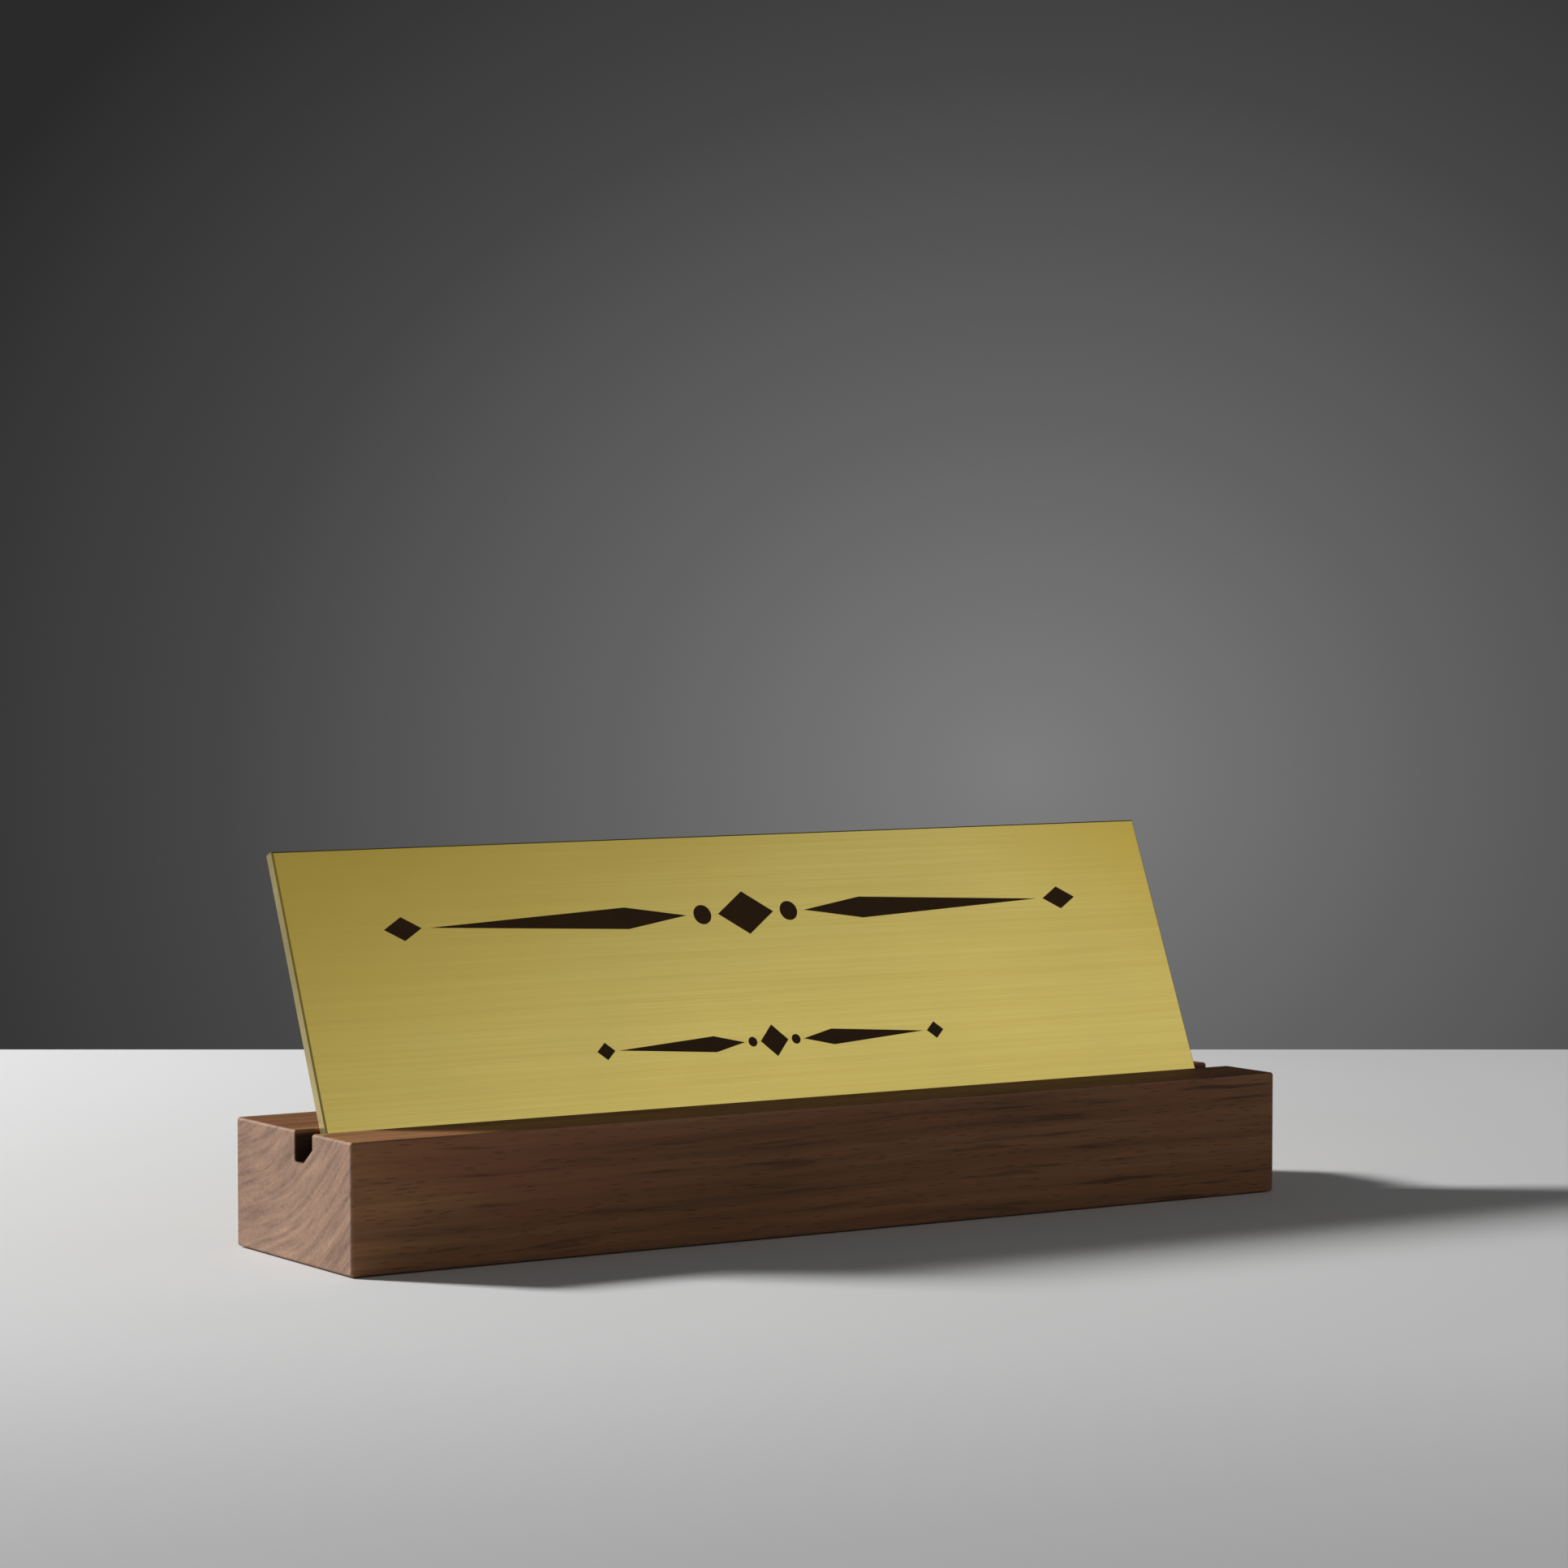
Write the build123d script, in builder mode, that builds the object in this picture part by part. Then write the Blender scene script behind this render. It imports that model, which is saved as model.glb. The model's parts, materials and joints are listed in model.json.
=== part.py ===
from build123d import *
from math import cos, hypot, radians, sin
import os

# Desk name plate: a brass plate that leans back in the groove of a walnut block.
# Millimetres. +X runs to the reader's right, +Y to the back and +Z up.
# The origin is under the middle of the block, on the table.

# Block
base_length = 254.0
base_depth = 56.0
base_height = 29.25
edge_ease = 0.7  # rounding of the block's outer edges

# Groove, open at both ends
lip_depth = 18.3  # block's front face to the groove's front wall
groove_wall = 3.6  # straight part of the front wall
ledge_width = 4.4  # ledge that slopes from the front wall down to the floor
ledge_fall = 3.4
mouth_ease = 0.5  # rounding of the groove's two top edges
floor_ease = 1.0  # rounding where the floor meets the rear wall

# Plate
end_inset = 6.0  # from each end of the block to the plate
plate_height = 71.8
plate_thickness = 3.2
plate_bevel = 0.4
plate_lean = 23.5  # degrees back from upright
seat_gap = 0.1  # plate to ledge, floor and rear edge of the groove

# Engraved ornament and its enamel
engrave_depth = 0.6
enamel_sink = 0.1  # enamel below the plate's face
enamel_gap = 0.02  # enamel to the pocket's walls

# Felt pads, set in round recesses
pad_diameter = 12.0
pad_recess = 0.7
pad_stand = 0.25  # pad below the block
pad_margin = 7.0  # from the block's faces to the pad
pad_gap = 0.2  # pad to the recess's wall

cut_overrun = 2.0

# Each ornament is a swelled rule: its middle, its length and its height as shares of the plate's sizes
upper_middle_share = 0.724
upper_length_share = 0.80
upper_height_share = 0.15
lower_middle_share = 0.278
lower_length_share = 0.40
lower_height_share = 0.11

# Motifs of a rule, from its middle outwards, as shares of its half length and of its height
lozenge_end_share = 0.08
bead_middle_share = 0.125
bead_radius_share = 0.025
kite_shares = (  # start, peak and end along the half length, and height
    (0.17, 0.34, 0.88, 0.50),  # tapering blade
    (0.90, 0.95, 1.00, 0.54),  # end lozenge
)

# Groove and plate, worked out from the plate's lean
lean_sin = sin(radians(plate_lean))
lean_cos = cos(radians(plate_lean))
plate_length = base_length - 2 * end_inset
top_z = pad_stand + base_height
wall_y = lip_depth - base_depth / 2
ledge_foot_y = wall_y + ledge_width
ledge_top_z = top_z - groove_wall
floor_z = ledge_top_z - ledge_fall
ledge_slope = hypot(ledge_width, ledge_fall)
ledge_sin = ledge_fall / ledge_slope
ledge_cos = ledge_width / ledge_slope

# The foot's rear corner stands on the floor, and its front corner is stopped by the ledge
corner_rise = seat_gap + (plate_thickness - 2 * plate_bevel) * lean_sin
corner_y = ledge_foot_y + (seat_gap - corner_rise * ledge_cos) / ledge_sin
foot_y = corner_y + (plate_thickness - plate_bevel) * lean_cos
foot_z = floor_z + seat_gap - plate_bevel * lean_sin

# The plate's back leans on the groove's rounded rear edge
ease_z = top_z - mouth_ease
rear_reach = mouth_ease + seat_gap + (ease_z - foot_z) * lean_sin
rear_y = foot_y + rear_reach / lean_cos - mouth_ease

# The plate's back, with Y up its slope, and its front
back_plane = Plane(origin=(0, foot_y, foot_z), x_dir=(1, 0, 0), z_dir=(0, -lean_cos, lean_sin))
front_plane = back_plane.offset(plate_thickness)
pocket_plane = front_plane.offset(-engrave_depth)
plate_axis = Axis(back_plane.origin, back_plane.z_dir)

os.makedirs("parts", exist_ok=True)


def finish(piece, name):
    """Label a finished piece and write it to its own file."""
    piece.part.label = name
    export_step(piece.part, f"parts/{name}.step")


def swelled_rule(plane, middle_share, length_share, height_share, inset=0):
    """Outlines of one ornament, drawn in by the inset: lozenges, beads and tapering blades."""
    middle = plate_height * middle_share
    half_length = plate_length * length_share / 2
    half_height = plate_height * height_share / 2
    lozenge_end = half_length * lozenge_end_share
    with BuildSketch(plane) as rule:
        for start_share, peak_share, end_share, rise_share in kite_shares:
            peak = half_length * peak_share
            rise = half_height * rise_share
            Polygon(
                (half_length * start_share, middle),
                (peak, middle - rise),
                (half_length * end_share, middle),
                (peak, middle + rise),
                align=None,
            )
        with Locations((half_length * bead_middle_share, middle)):
            Circle(half_length * bead_radius_share)
        mirror(about=Plane.YZ)
        Polygon(
            (-lozenge_end, middle),
            (0, middle - half_height),
            (lozenge_end, middle),
            (0, middle + half_height),
            align=None,
        )
        if inset:
            offset(amount=-inset, kind=Kind.INTERSECTION, mode=Mode.REPLACE)
    return rule.sketch


# Walnut block: eased all round, grooved along its top, recessed underneath for the pads
pad_x = base_length / 2 - pad_margin - pad_diameter / 2
pad_y = base_depth / 2 - pad_margin - pad_diameter / 2
with BuildPart() as wooden_base:
    with BuildSketch(Plane.XY.offset(pad_stand)):
        Rectangle(base_length, base_depth)
    extrude(amount=base_height)
    fillet(wooden_base.edges(), edge_ease)
    with BuildSketch(Plane.YZ):
        with BuildLine():
            front_round = CenterArc((wall_y - mouth_ease, ease_z), mouth_ease, 90, -90)
            rear_round = CenterArc((rear_y + mouth_ease, ease_z), mouth_ease, 180, -90)
            rear_cove = CenterArc((rear_y - floor_ease, floor_z + floor_ease), floor_ease, 270, 90)
            Polyline(front_round @ 1, (wall_y, ledge_top_z), (ledge_foot_y, floor_z), rear_cove @ 0)
            Line(rear_cove @ 1, rear_round @ 0)
            Polyline(
                rear_round @ 1,
                (rear_y + mouth_ease, top_z + cut_overrun),
                (wall_y - mouth_ease, top_z + cut_overrun),
                front_round @ 0,
            )
        make_face()
    extrude(amount=base_length / 2 + cut_overrun, both=True, mode=Mode.SUBTRACT)
    with BuildSketch(Plane.XY.offset(pad_stand)):
        with GridLocations(2 * pad_x, 2 * pad_y, 2, 2):
            Circle(pad_diameter / 2 + pad_gap)
    extrude(amount=pad_recess, mode=Mode.SUBTRACT)
finish(wooden_base, "wooden_base")

# Brass plate: bevelled front and back, with the pockets of both ornaments
with BuildPart() as name_plate:
    with BuildSketch(back_plane):
        Rectangle(plate_length, plate_height, align=(Align.CENTER, Align.MIN))
    extrude(amount=plate_thickness)
    outlines = name_plate.faces().sort_by(plate_axis)
    chamfer(outlines[0].edges() + outlines[-1].edges(), plate_bevel)
    extrude(
        swelled_rule(front_plane, upper_middle_share, upper_length_share, upper_height_share),
        amount=-engrave_depth,
        mode=Mode.SUBTRACT,
    )
    extrude(
        swelled_rule(front_plane, lower_middle_share, lower_length_share, lower_height_share),
        amount=-engrave_depth,
        mode=Mode.SUBTRACT,
    )
finish(name_plate, "name_plate")

# Dark enamel, one filling in each pocket
with BuildPart() as upper_enamel:
    extrude(
        swelled_rule(pocket_plane, upper_middle_share, upper_length_share, upper_height_share, enamel_gap),
        amount=engrave_depth - enamel_sink,
    )
finish(upper_enamel, "upper_enamel")

with BuildPart() as lower_enamel:
    extrude(
        swelled_rule(pocket_plane, lower_middle_share, lower_length_share, lower_height_share, enamel_gap),
        amount=engrave_depth - enamel_sink,
    )
finish(lower_enamel, "lower_enamel")

# Felt pads under the four corners
for name, x_side, y_side in (
    ("front_left_pad", -1, -1),
    ("front_right_pad", 1, -1),
    ("back_left_pad", -1, 1),
    ("back_right_pad", 1, 1),
):
    with BuildPart() as pad:
        with BuildSketch():
            with Locations((x_side * pad_x, y_side * pad_y)):
                Circle(pad_diameter / 2)
        extrude(amount=pad_stand + pad_recess)
    finish(pad, name)
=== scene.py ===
"""Looks of a desk name plate: brushed brass, an enamelled ornament, a walnut block and felt pads."""

import json
import math

import bmesh
import bpy
from mathutils import Matrix, Vector


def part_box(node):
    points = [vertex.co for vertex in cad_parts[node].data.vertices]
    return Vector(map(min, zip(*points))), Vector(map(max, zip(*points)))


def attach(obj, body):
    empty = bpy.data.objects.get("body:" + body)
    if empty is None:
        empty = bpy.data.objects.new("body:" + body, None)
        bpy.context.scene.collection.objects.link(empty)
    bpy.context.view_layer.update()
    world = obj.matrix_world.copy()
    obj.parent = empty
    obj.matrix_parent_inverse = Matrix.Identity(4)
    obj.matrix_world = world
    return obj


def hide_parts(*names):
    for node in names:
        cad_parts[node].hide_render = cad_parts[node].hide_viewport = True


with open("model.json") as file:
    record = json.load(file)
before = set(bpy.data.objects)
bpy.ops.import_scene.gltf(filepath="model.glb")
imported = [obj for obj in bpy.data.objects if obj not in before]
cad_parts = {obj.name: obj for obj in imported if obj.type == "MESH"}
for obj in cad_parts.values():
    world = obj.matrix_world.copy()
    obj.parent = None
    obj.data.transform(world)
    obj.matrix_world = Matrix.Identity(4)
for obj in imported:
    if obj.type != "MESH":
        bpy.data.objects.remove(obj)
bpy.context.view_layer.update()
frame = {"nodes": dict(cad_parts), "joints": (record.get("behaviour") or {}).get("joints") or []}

# Places read from the frame, in metres
block_low, block_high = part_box("wooden_base")
block_half = (block_high - block_low) / 2
block_middle = (block_high + block_low) / 2
plate_up = Vector(frame["joints"][0]["axis"])
plate_lean = math.atan2(plate_up.y, plate_up.z)
plate_half_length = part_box("name_plate")[1].x
plate_top = max(point.co.dot(plate_up) for point in frame["nodes"]["name_plate"].data.vertices)
pads = [name for name in frame["nodes"] if name.endswith("_pad")]

# Camera, fitted to the photograph
camera_place = Vector((-0.5745, -0.8956, 0.1529))
camera_target = Vector((-0.0177, -0.0305, 0.1042))
camera_lens = 104.13  # mm
sensor_width = 36.0  # mm
camera_ahead = camera_target - camera_place

# Table: its far edge lies across the view, behind the object
table_behind = 0.376
table_before = 1.2
table_left = 0.36  # a wider table would be washed out near the key lamp
table_right = 1.1
table_turn = math.radians(32.77)  # from +X towards -Y
table_thickness = 0.03
# painted shade towards the table's front edge
table_shade_fade = (0.14, 0.42)  # from the origin towards the front edge

# Key lamp, behind the object on the left. Its level is what a white card facing it shows.
key_azimuth = math.radians(42.3)  # from +Y towards -X
key_elevation = math.radians(30.3)
key_distance = 1.9
key_size = 0.285
key_level = 1.56

# Fill lamp: a wide dim panel in front on the right, which the brass reflects
fill_azimuth = math.radians(40)  # from -Y towards +X
fill_elevation = math.radians(21)
fill_distance = 1.3
fill_size = (1.15, 0.85)
fill_radiance = 0.63

# Studio: even light, and the walls that the camera and the metal see
ambient = 0.085
room_level = 0.13
window_level = 0.36
window_turn = math.radians(184)  # middle of the pale wall in front, from +Y towards +X
window_raise = math.radians(36)
window_inner = math.radians(10)
window_outer = math.radians(44)
glow_turn = math.radians(35.76)  # middle of the backdrop's glow, from +Y towards +X
glow_fall = math.radians(2.55)
glow_reach = 0.2533  # as a chord of the unit sphere
glow_stretch = (0.94, 0.94, 1.08)
glow_tones = ((0.00, 125), (0.33, 98), (0.66, 69), (1.00, 42))  # share of the reach, and grey as seen
wall_fade = (-0.3, 0.1)  # Y of the directions where the room's walls give way to the backdrop

# Walnut: growth rings round a pith that runs along X, above the back of the block
pith_y = 0.058
pith_z = 0.115
ring_width = 0.0015
pore_spacing = (0.0075, 0.00065, 0.00065)  # along the grain, across the rings, along the rings
pore_reach = (0.14, 0.26)  # a pore's dark middle and its rim, as shares of the spacing
streak_level = (0.56, 0.72)  # noise at which a dark streak begins and is full
blush_level = (-0.04, 0.20)  # noise at which the redder wood begins and is full
paler_end = (-0.12, -0.01)  # X between which the paler left part ends
streaked_end = (0.03, 0.11)  # X between which the darker streaks of the right part begin
darker_top = (0.012, 0.040)  # Y + Z between which the wood darkens
end_depth = (0.0001, 0.0005)  # how deep the colour of the sawn ends goes
edge_ease = 0.0007  # rounding of the block's outer edges
edge_rub = 0.55  # where the rubbing begins to fade, as a share of the rounding
groove_front = -0.0097  # Y of the groove's front wall
groove_rear = -0.0009  # Y of its rear wall
groove_floor = 0.0225  # Z of its floor
# painted shade in the groove: it fades in past the walls and floor, and is full some way below the
# block's top
groove_blur = 0.0003  # how far its dark colour fades past the walls
floor_blur = 0.00003  # how far it fades past the floor
groove_shade_depth = (0.0004, 0.0016)  # below the block's top, where it begins and where it is full

# Brass
plate_bevel = 0.0004
# the paler sawn ends are partly a painted highlight
sawn_highlight_depth = (0.05 * plate_bevel, 0.20 * plate_bevel)  # how deep the colour of the sawn ends goes
# painted reflection and painted shade across the brass face
painted_reflection_fade = (-0.09, 0.05)  # across the upper left corner
painted_shade_fade = (0.05, 0.13)  # across the upper right corner

# Felt
wool_level = (0.32, 0.68)  # noise at which the wool is dark and pale
felt_rounding = 0.0003
rim_steps = 5
disc_steps = 64
fuzz_room = 0.00014  # disc to table, filled by loose fibres
fibre_length = 0.0014
fibre_radius = 0.000014
fibre_density = 9.0e6  # to the square metre
fibre_sizes = (0.5, 1.3)  # shortest and longest, as shares of the length
fibre_bend = math.radians(80)
fibre_tilt = math.radians(4)
fibre_points = 5
fibre_sides = 3
facing_down = -0.999  # Z of a normal that looks down
seeds_apart = 10  # from one pad to the next


def srgb(red, green, blue):
    """A colour given as it is seen, from 0 to 255, as linear light."""
    shares = (red / 255, green / 255, blue / 255)
    return (*(s / 12.92 if s <= 0.04045 else ((s + 0.055) / 1.055) ** 2.4 for s in shares), 1.0)


def grey(level):
    """A grey given as linear light."""
    return (level, level, level, 1.0)


# Colours of the walnut
face_tones = (
    (0.12, srgb(73, 45, 26)),
    (0.38, srgb(113, 75, 45)),
    (0.62, srgb(140, 96, 59)),
    (0.92, srgb(172, 124, 80)),
)
end_tones = (
    (0.15, srgb(103, 78, 63)),
    (0.42, srgb(132, 103, 85)),
    (0.62, srgb(147, 116, 95)),
    (0.92, srgb(170, 140, 117)),
)
blush_colour = srgb(126, 74, 48)
streak_colour = srgb(60, 36, 22)
rubbed_colour = srgb(180, 140, 106)
pore_colour = srgb(44, 27, 17)
# colour of the painted shade in the groove
groove_shade_colour = srgb(26, 16, 9)

# Colours of the brass, the enamel, the felt and the table
# brass in painted shade and in painted reflection
shaded_brass = srgb(214, 187, 86)
lit_brass = srgb(229, 209, 119)
brushed_brass = srgb(208, 182, 92)
# paler sawn brass, partly a painted highlight
sawn_brass_highlight = srgb(226, 208, 148)
dark_enamel = srgb(56, 37, 16)
pale_enamel = srgb(76, 52, 26)
dark_felt = srgb(38, 37, 38)
pale_felt = srgb(82, 80, 80)
dim_table = srgb(204, 204, 204)
bright_table = srgb(210, 210, 210)
# table in painted shade near its front edge
shaded_front_table = srgb(186, 186, 186)


def heading(azimuth, elevation):
    """A direction turned by the azimuth from +Y towards +X, and raised by the elevation."""
    level = math.cos(elevation)
    return Vector((math.sin(azimuth) * level, math.cos(azimuth) * level, math.sin(elevation)))


class Field:
    """A socket of a node tree. Arithmetic on fields adds Math nodes, and add() adds any other node."""

    def __init__(self, tree, socket=None):
        self.tree = tree
        self.socket = socket

    def add(self, kind, settings=None, sockets=None, output=0):
        """Add a node: its settings first, then a value or a link for each socket that is named."""
        node = self.tree.nodes.new(kind)
        for name, value in (settings or {}).items():
            if name == "stops":
                stops = node.color_ramp.elements
                while len(stops) < len(value):
                    stops.new(1.0)
                for stop, (place, colour) in zip(stops, value):
                    stop.position = place
                    stop.color = colour
            else:
                setattr(node, name, value)
        for name, value in (sockets or {}).items():
            if isinstance(value, Field):
                self.tree.links.new(value.socket, node.inputs[name])
            else:
                node.inputs[name].default_value = value
        if isinstance(output, tuple):
            return tuple(Field(self.tree, node.outputs[name]) for name in output)
        return Field(self.tree, node.outputs[output] if len(node.outputs) else None)

    def math(self, operation, *values):
        """Add a Math node."""
        return self.add("ShaderNodeMath", {"operation": operation}, dict(enumerate(values)))

    def __add__(self, other):
        return self.math("ADD", self, other)

    __radd__ = __add__

    def __sub__(self, other):
        return self.math("SUBTRACT", self, other)

    def __rsub__(self, other):
        return self.math("SUBTRACT", other, self)

    def __mul__(self, other):
        return self.math("MULTIPLY", self, other)

    __rmul__ = __mul__

    def __truediv__(self, other):
        return self.math("DIVIDE", self, other)

    def __pow__(self, other):
        return self.math("POWER", self, other)

    def __abs__(self):
        return self.math("ABSOLUTE", self)


def noise(position, size, detail=2.0, roughness=0.5):
    """Noise from 0 to 1 whose blotches have the given size along X, Y and Z, in metres."""
    cells = position.add("ShaderNodeVectorMath", {"operation": "DIVIDE"}, {0: position, 1: size})
    return position.add(
        "ShaderNodeTexNoise",
        {},
        {"Vector": cells, "Scale": 1.0, "Detail": detail, "Roughness": roughness},
    )


def rise(value, low, high):
    """0 below low, 1 above high, and a smooth step between them."""
    return value.add(
        "ShaderNodeMapRange",
        {"interpolation_type": "SMOOTHSTEP"},
        {"Value": value, "From Min": low, "From Max": high},
    )


def mix(factor, first, second):
    """Two colours mixed by a factor."""
    return factor.add(
        "ShaderNodeMix", {"data_type": "RGBA"}, {0: factor, 6: first, 7: second}, output=2
    )


def ramp(factor, *stops):
    """A colour read from a row of stops."""
    return factor.add("ShaderNodeValToRGB", {"stops": stops}, {"Fac": factor})


def new_finish(name):
    """A material with an empty tree, the tree's first field, and the place on the piece."""
    material = bpy.data.materials.new(name)
    material.use_nodes = True
    material.node_tree.nodes.clear()
    start = Field(material.node_tree)
    return material, start, start.add("ShaderNodeTexCoord", output="Object")


def split(vector):
    """A vector's X, Y and Z."""
    return vector.add("ShaderNodeSeparateXYZ", {}, {"Vector": vector}, ("X", "Y", "Z"))


def along(vector, direction):
    """How far a place or a direction reaches along another."""
    return vector.add(
        "ShaderNodeVectorMath", {"operation": "DOT_PRODUCT"}, {0: vector, 1: direction}, "Value"
    )


def close(start, sockets, height=None, strength=0.0, depth=0.0):
    """Close a material's tree with its shader, and a bump where there is a height."""
    if height is not None:
        sockets["Normal"] = start.add(
            "ShaderNodeBump", {}, {"Strength": strength, "Distance": depth, "Height": height}
        )
    shader = start.add("ShaderNodeBsdfPrincipled", {}, sockets)
    start.add("ShaderNodeOutputMaterial", {}, {"Surface": shader})


def walnut():
    """Oiled walnut: rings, fibres and pores run through the solid, its sawn ends are paler, and shade
    is painted into its groove.
    """
    material, start, position = new_finish("oiled_walnut")
    x, y, z = split(position)

    # Distance from the pith, bent by slow waves in the grain
    across = y - pith_y
    above = z - pith_z
    wave = noise(position, (0.16, 0.05, 0.05), detail=1.0) - 0.5
    ripple = noise(position, (0.030, 0.006, 0.006)) - 0.5
    radius = (across**2 + above**2) ** 0.5 + 0.008 * wave + 0.0008 * ripple
    arc = start.math("ARCTAN2", above, across) * pith_z
    grain = start.add("ShaderNodeCombineXYZ", {}, {"X": x, "Y": radius, "Z": arc})

    # Rings, bands of colour, fibres, dark streaks and opened pores
    ring = start.math("PINGPONG", radius / ring_width, 1.0) ** 2 - 0.33
    band = noise(grain, (0.200, 0.0050, 0.060)) - 0.5
    fibre = noise(grain, (0.030, 0.00045, 0.0014), detail=3.0, roughness=0.6) - 0.5
    hair = noise(grain, (0.009, 0.00014, 0.00035), roughness=0.6) - 0.5
    blush = noise(position, (0.055, 0.016, 0.016)) - 0.5
    mottle = noise(position, (0.0012, 0.0012, 0.0012), detail=3.0, roughness=0.7) - 0.5
    ray = noise(grain, (0.050, 0.0011, 0.0110)) - 0.5
    streak = rise(noise(grain, (0.030, 0.0012, 0.0050)), *streak_level)
    cells = start.add("ShaderNodeVectorMath", {"operation": "DIVIDE"}, {0: grain, 1: pore_spacing})
    depth = start.add("ShaderNodeTexVoronoi", {}, {"Vector": cells, "Scale": 1.0}, "Distance")
    pore = 1 - rise(depth, *pore_reach)

    # Colours of the long faces, along the grain, and of the ends, across it
    paler = 1 - rise(x, *paler_end)
    darker = rise(y + z, *darker_top)
    face_tone = 0.51 + 0.74 * band + 0.32 * fibre + 0.22 * hair + 0.40 * blush - 0.10 * ring
    face_colour = ramp(face_tone + 0.10 * paler - 0.20 * darker, *face_tones)
    face_colour = mix(0.55 * rise(blush, *blush_level), face_colour, blush_colour)
    streaked = (0.50 + 0.30 * rise(x, *streaked_end)) * streak
    face_colour = mix(streaked, face_colour, streak_colour)
    end_tone = 0.52 + 0.30 * band + 0.85 * ray + 0.45 * mottle + 0.30 * blush - 0.10 * ring
    end_colour = ramp(end_tone - 0.12 * darker, *end_tones)

    # Edges are rubbed paler: there the two smaller distances to the block's faces add up to little
    to_end = block_half.x - abs(x)
    to_side = block_half.y - abs(y)
    to_top = block_half.z - abs(z - block_middle.z)
    farthest = start.math("MAXIMUM", start.math("MAXIMUM", to_end, to_side), to_top)
    edge = 1 - rise(to_end + to_side + to_top - farthest, edge_rub * edge_ease, edge_ease)
    end = 1 - rise(to_end, *end_depth)
    colour = mix(end, face_colour, end_colour)
    colour = mix(0.15 * edge, colour, rubbed_colour)
    colour = mix(0.36 * pore, colour, pore_colour)

    # Painted shade: the groove's walls are darkened where shade falls in the recess, and roughened
    behind_front = rise(y, groove_front - groove_blur, groove_front)
    before_rear = 1 - rise(y, groove_rear, groove_rear + groove_blur)
    sunk = rise(block_high.z - z, *groove_shade_depth) * rise(z, groove_floor - floor_blur, groove_floor)
    painted_groove_shade = behind_front * before_rear * sunk * (1 - end)
    colour = mix(0.88 * painted_groove_shade, colour, groove_shade_colour)
    roughness = 0.58 + 0.15 * fibre + 0.15 * hair + 0.14 * pore + 0.14 * end - 0.04 * edge
    close(
        start,
        {
            "Base Color": colour,
            "Roughness": roughness + 0.35 * painted_groove_shade,
            "Specular IOR Level": 0.30,
        },
        height=0.20 * fibre + 0.25 * hair - pore + 0.60 * mottle * end,
        strength=0.35,
        depth=0.00012,
    )
    return material


def brass():
    """Satin brass brushed along its length and smudged by handling, with a painted reflection brighter
    towards the lower right, painted shade at its upper corners and a painted highlight on its sawn
    ends.
    """
    material, start, position = new_finish("brushed_brass")
    upright = start.add(
        "ShaderNodeVectorRotate",
        {"rotation_type": "X_AXIS"},
        {"Vector": position, "Angle": plate_lean},
    )
    x, _, up = split(upright)
    hairline = noise(upright, (0.050, 0.004, 0.00013), roughness=0.6) - 0.5
    stroke = noise(upright, (0.140, 0.010, 0.00080)) - 0.5
    smudge = noise(upright, (0.055, 0.030, 0.032), detail=3.0, roughness=0.55) - 0.5
    to_top = plate_top - up
    # Painted reflection and shade: brighter towards the lower right, darker at the upper left and upper
    # right corners, broken by smudges
    painted_reflection = rise(0.8 * x + 1.6 * to_top + 0.08 * smudge, *painted_reflection_fade)
    painted_reflection = painted_reflection * (1 - rise(x - 1.2 * to_top, *painted_shade_fade))
    colour = mix(painted_reflection, shaded_brass, lit_brass)
    colour = mix(0.25 + 0.8 * stroke + 0.5 * hairline, colour, brushed_brass)

    # The two sawn ends are paler: partly their filed finish, partly a painted highlight
    sawn_and_highlight = 1 - rise(plate_half_length - abs(x), *sawn_highlight_depth)
    colour = mix(sawn_and_highlight, colour, sawn_brass_highlight)
    close(
        start,
        {
            "Base Color": colour,
            "Metallic": 1.0,
            "Roughness": 0.30 + 0.12 * hairline + 0.12 * smudge + 0.08 * sawn_and_highlight,
        },
        height=0.6 * hairline + 0.4 * stroke,
        strength=0.10,
        depth=0.00005,
    )
    return material


def enamel():
    """Dark brown enamel, rubbed back to a dull gloss."""
    material, start, position = new_finish("dark_enamel")
    cloud = noise(position, (0.006, 0.006, 0.006), detail=3.0)
    grit = noise(position, (0.0004, 0.0004, 0.0004))
    close(
        start,
        {
            "Base Color": mix(cloud, dark_enamel, pale_enamel),
            "Roughness": 0.54 + 0.14 * (cloud - 0.5) + 0.14 * (grit - 0.5),
            "Specular IOR Level": 0.10,
        },
        height=grit,
        strength=0.15,
        depth=0.00004,
    )
    return material


def felt():
    """Pressed wool felt: matted fibres in two greys."""
    material, start, position = new_finish("grey_felt")
    matting = noise(position, (0.0016, 0.0005, 0.0005), detail=4.0, roughness=0.7)
    crossing = noise(position, (0.0005, 0.0016, 0.0005), detail=4.0, roughness=0.7)
    lint = noise(position, (0.004, 0.004, 0.004))
    tone = rise(0.5 * matting + 0.5 * crossing + 0.3 * (lint - 0.5), *wool_level)
    close(
        start,
        {
            "Base Color": mix(tone, dark_felt, pale_felt),
            "Roughness": 0.9 + 0.1 * tone,
            "Sheen Weight": 0.35,
            "Sheen Roughness": 0.6,
        },
        height=tone,
        strength=0.6,
        depth=0.0002,
    )
    return material


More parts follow.
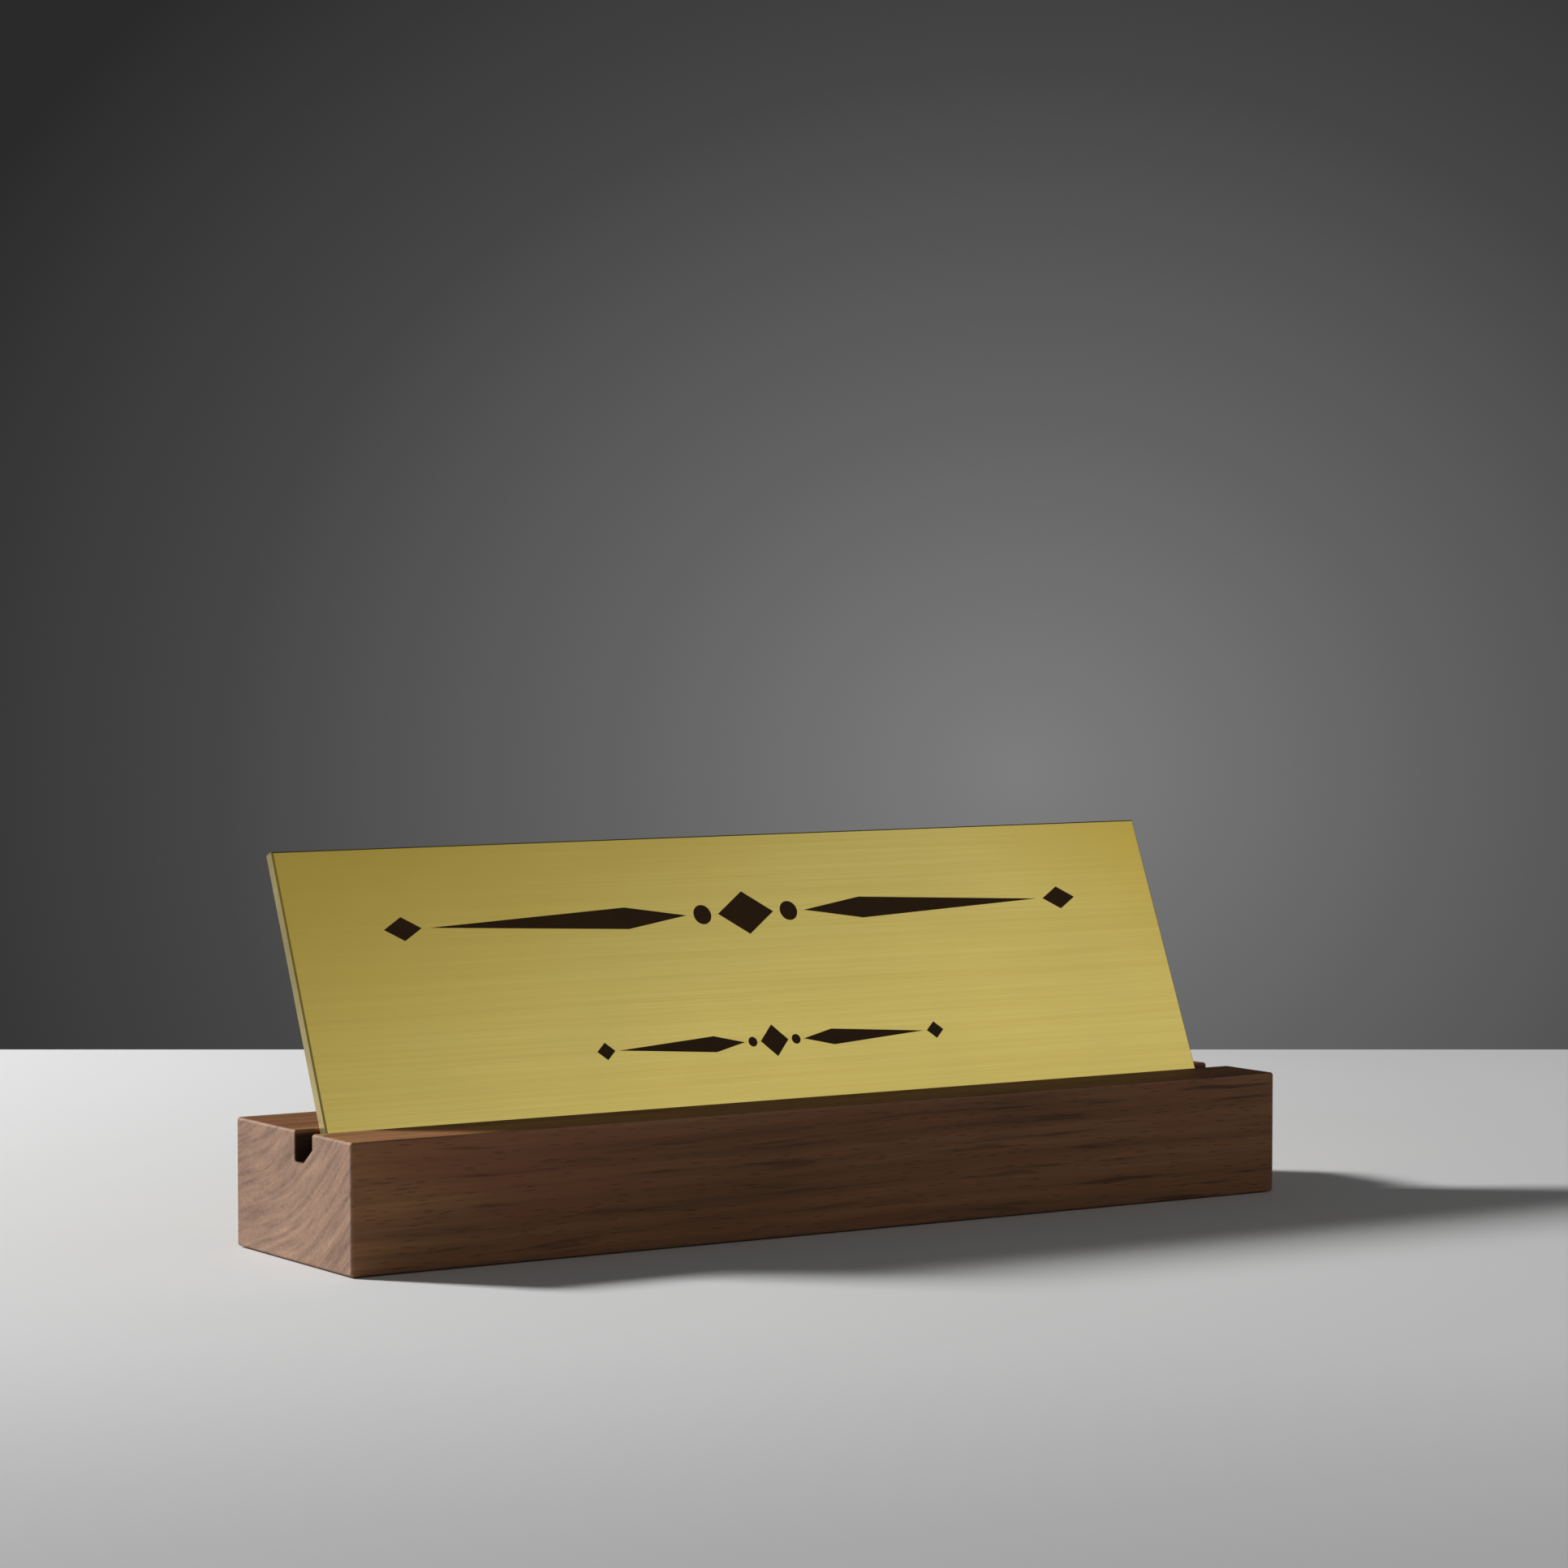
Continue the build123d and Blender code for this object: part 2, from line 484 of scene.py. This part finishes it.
def pale_table():
    """Pale painted table top, with painted shade towards its front edge."""
    material, start, position = new_finish("pale_table")
    cloud = noise(position, (0.25, 0.25, 0.25), detail=3.0)
    colour = mix(cloud, dim_table, bright_table)

    # Painted shade: a little darker towards its front edge
    to_front = along(position, heading(table_turn + math.pi, 0.0))
    colour = mix(rise(to_front, *table_shade_fade), colour, shaded_front_table)
    close(
        start,
        {
            "Base Color": colour,
            "Roughness": 0.80 + 0.08 * (cloud - 0.5),
            "Specular IOR Level": 0.05,
        },
    )
    return material


def add_object(name, data):
    """Link data to the scene as an object at the origin."""
    made = bpy.data.objects.new(name, data)
    bpy.context.scene.collection.objects.link(made)
    return made


def felt_disc(node):
    """A felt disc for a plain pad: its lower rim is rounded, and its face lies just off the table."""
    low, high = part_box(node)
    middle = (low + high) / 2
    radius = (high.x - low.x) / 2 - fuzz_room
    face = low.z + fuzz_room
    bends = [math.pi / 2 * step / rim_steps for step in range(rim_steps + 1)]
    rim = [
        (radius - felt_rounding * (1 - math.sin(bend)), face + felt_rounding * (1 - math.cos(bend)))
        for bend in bends
    ]
    rings = [(radius / 2, face), *rim, (radius, high.z)]
    turns = [2 * math.pi * step / disc_steps for step in range(disc_steps)]
    points = [
        (middle.x + out * math.cos(turn), middle.y + out * math.sin(turn), up)
        for out, up in rings
        for turn in turns
    ]
    points += [(middle.x, middle.y, face), (middle.x, middle.y, high.z)]
    bottom = len(points) - 2
    top = len(points) - 1
    last = disc_steps * (len(rings) - 1)
    faces = []
    for step in range(disc_steps):
        after = (step + 1) % disc_steps
        faces.append((bottom, after, step))
        for inner in range(0, last, disc_steps):
            outer = inner + disc_steps
            faces.append((inner + step, inner + after, outer + after, outer + step))
        faces.append((top, last + step, last + after))
    mesh = bpy.data.meshes.new(node + "_felt")
    mesh.from_pydata(points, [], faces)
    mesh.polygons.foreach_set("use_smooth", [True] * len(mesh.polygons))
    return add_object(node + "_felt", mesh)


def fuzz_tree():
    """Geometry nodes that lay loose bent fibres over the lower side of a felt disc."""
    tree = bpy.data.node_groups.new("felt_fuzz", "GeometryNodeTree")
    for name, kind in (
        ("Geometry", "NodeSocketGeometry"),
        ("Fibre Length", "NodeSocketFloat"),
        ("Fibre Radius", "NodeSocketFloat"),
        ("Fibre Bend", "NodeSocketFloat"),
        ("Fibre Tilt", "NodeSocketFloat"),
        ("Fibre Density", "NodeSocketFloat"),
        ("Seed", "NodeSocketInt"),
        ("Material", "NodeSocketMaterial"),
    ):
        tree.interface.new_socket(name, in_out="INPUT", socket_type=kind)
    tree.interface.new_socket("Geometry", in_out="OUTPUT", socket_type="NodeSocketGeometry")
    start = Field(tree)
    disc, length, thin, bend, tilt, density, seed, material = start.add(
        "NodeGroupInput",
        output=(
            "Geometry",
            "Fibre Length",
            "Fibre Radius",
            "Fibre Bend",
            "Fibre Tilt",
            "Fibre Density",
            "Seed",
            "Material",
        ),
    )

    # One fibre: a short arc whose middle lies at the origin
    arc_radius = length / bend
    arc = start.add(
        "GeometryNodeCurveArc",
        {},
        {
            "Resolution": fibre_points,
            "Radius": arc_radius,
            "Start Angle": bend * -0.5,
            "Sweep Angle": bend,
        },
    )
    back = start.add("ShaderNodeCombineXYZ", {}, {"X": arc_radius * -1.0})
    arc = start.add("GeometryNodeTransform", {}, {"Geometry": arc, "Translation": back})
    section = start.add(
        "GeometryNodeCurvePrimitiveCircle", {}, {"Resolution": fibre_sides, "Radius": thin}
    )
    fibre = start.add(
        "GeometryNodeCurveToMesh", {}, {"Curve": arc, "Profile Curve": section, "Fill Caps": True}
    )

    # Fibres lie flat on the face that looks down, each turned its own way
    _, _, facing = split(start.add("GeometryNodeInputNormal"))
    below = start.add("FunctionNodeCompare", {"operation": "LESS_THAN"}, {0: facing, 1: facing_down})
    points, turn = start.add(
        "GeometryNodeDistributePointsOnFaces",
        {},
        {"Mesh": disc, "Selection": below, "Density": density, "Seed": seed},
        ("Points", "Rotation"),
    )
    shortest, longest = fibre_sizes
    size = start.add("FunctionNodeRandomValue", {}, {2: shortest, 3: longest, "Seed": seed + 1}, 1)
    laid = start.add(
        "GeometryNodeInstanceOnPoints",
        {},
        {"Points": points, "Instance": fibre, "Rotation": turn, "Scale": size},
    )
    lean = start.add("FunctionNodeRandomValue", {}, {2: tilt * -1.0, 3: tilt, "Seed": seed + 2}, 1)
    spin = start.add("FunctionNodeRandomValue", {}, {2: 0.0, 3: 2 * math.pi, "Seed": seed + 3}, 1)
    twist = start.add("ShaderNodeCombineXYZ", {}, {"X": lean, "Z": spin})
    laid = start.add(
        "GeometryNodeRotateInstances", {}, {"Instances": laid, "Rotation": twist, "Local Space": True}
    )
    loose = start.add("GeometryNodeRealizeInstances", {}, {"Geometry": laid})
    joined = start.add("GeometryNodeJoinGeometry", {}, {"Geometry": disc})
    start.tree.links.new(loose.socket, joined.socket.node.inputs["Geometry"])
    dressed = start.add("GeometryNodeSetMaterial", {}, {"Geometry": joined, "Material": material})
    start.add("NodeGroupOutput", {}, {"Geometry": dressed})
    return tree


def run_tree(piece, tree, values):
    """Run a geometry tree on a piece, which keeps the result as its plain mesh."""
    modifier = piece.modifiers.new(tree.name, "NODES")
    modifier.node_group = tree
    for item in tree.interface.items_tree:
        if item.in_out == "INPUT" and item.name in values:
            modifier[item.identifier] = values[item.name]
    evaluated = piece.evaluated_get(bpy.context.evaluated_depsgraph_get())
    mesh = bpy.data.meshes.new_from_object(evaluated)
    piece.modifiers.remove(modifier)
    piece.data = mesh


def add_felt_pads():
    """The four felt pads, each in the place of its CAD solid."""
    material = felt()
    tree = fuzz_tree()
    for place, node in enumerate(pads):
        pad = felt_disc(node)
        values = {
            "Fibre Length": fibre_length,
            "Fibre Radius": fibre_radius,
            "Fibre Bend": fibre_bend,
            "Fibre Tilt": fibre_tilt,
            "Fibre Density": fibre_density,
            "Seed": seeds_apart * place,
            "Material": material,
        }
        run_tree(pad, tree, values)
        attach(pad, "base")
        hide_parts(node)


def add_table():
    """The slab that the object stands on, with its far edge across the camera's view."""
    shape = bmesh.new()
    bmesh.ops.create_cube(shape, size=1.0)
    size = Vector((table_left + table_right, table_before + table_behind, table_thickness))
    middle = Vector((table_right - table_left, table_behind - table_before, -table_thickness)) / 2
    turn = Matrix.Rotation(-table_turn, 4, "Z")
    shape.transform(turn @ Matrix.Translation(middle) @ Matrix.Diagonal((*size, 1)))
    mesh = bpy.data.meshes.new("table_top")
    shape.to_mesh(mesh)
    shape.free()
    mesh.materials.append(pale_table())
    add_object("table_top", mesh)


def add_lamp(name, toward, distance, size, radiance):
    """A soft panel that faces the object."""
    data = bpy.data.lights.new(name, "AREA")
    data.shape = "RECTANGLE"
    data.size, data.size_y = size
    data.energy = radiance * math.pi * size[0] * size[1]
    lamp = add_object(name, data)
    lamp.location = block_middle + distance * toward
    lamp.rotation_euler = (-toward).to_track_quat("-Z", "Y").to_euler()
    lamp.visible_camera = False


def add_studio():
    """Lamps, and a world that lights evenly but shows a grey backdrop with a glow behind the object."""
    key_radiance = key_level * math.pi * key_distance**2 / key_size**2
    to_key = heading(-key_azimuth, key_elevation)
    to_fill = heading(math.pi - fill_azimuth, fill_elevation)
    add_lamp("key", to_key, key_distance, (key_size, key_size), key_radiance)
    add_lamp("fill", to_fill, fill_distance, fill_size, fill_radiance)

    world = bpy.data.worlds.new("studio")
    bpy.context.scene.world = world
    world.use_nodes = True
    world.node_tree.nodes.clear()
    start = Field(world.node_tree)
    direction = start.add("ShaderNodeTexCoord", output="Generated")
    glow = heading(glow_turn, -glow_fall)
    away = start.add("ShaderNodeVectorMath", {"operation": "SUBTRACT"}, {0: direction, 1: glow})
    away = start.add("ShaderNodeVectorMath", {"operation": "MULTIPLY"}, {0: away, 1: glow_stretch})
    away = start.add("ShaderNodeVectorMath", {"operation": "LENGTH"}, {0: away}, "Value")
    stops = [(share, srgb(tone, tone, tone)) for share, tone in glow_tones]
    backdrop = ramp(away / glow_reach, *stops)
    _, y, _ = split(direction)
    backdrop = mix(rise(y, *wall_fade), grey(room_level), backdrop)
    facing = along(direction, heading(window_turn, window_raise))
    window = rise(facing, math.cos(window_outer), math.cos(window_inner))
    backdrop = mix(window, backdrop, grey(window_level))
    camera_ray, glossy_ray, clear_ray = start.add(
        "ShaderNodeLightPath", output=("Is Camera Ray", "Is Glossy Ray", "Is Transmission Ray")
    )
    seen = start.math("MAXIMUM", start.math("MAXIMUM", camera_ray, glossy_ray), clear_ray)
    light = start.add("ShaderNodeBackground", {}, {"Color": grey(ambient)})
    view = start.add("ShaderNodeBackground", {}, {"Color": backdrop})
    both = start.add("ShaderNodeMixShader", {}, {0: seen, 1: light, 2: view})
    start.add("ShaderNodeOutputWorld", {}, {"Surface": both})


def add_camera():
    """The camera, at the photograph's viewing angle."""
    data = bpy.data.cameras.new("camera")
    data.lens = camera_lens
    data.sensor_width = sensor_width
    camera = add_object("camera", data)
    camera.location = camera_place
    camera.rotation_euler = camera_ahead.to_track_quat("-Z", "Y").to_euler()
    bpy.context.scene.camera = camera


def dress(material, *nodes):
    """Give CAD nodes a finish."""
    for node in nodes:
        for place in frame["nodes"][node].material_slots:
            place.material = material


dress(walnut(), "wooden_base")
dress(brass(), "name_plate")
dress(enamel(), "upper_enamel", "lower_enamel")
add_felt_pads()
add_table()
add_studio()
add_camera()
bpy.context.scene.view_settings.view_transform = "Standard"
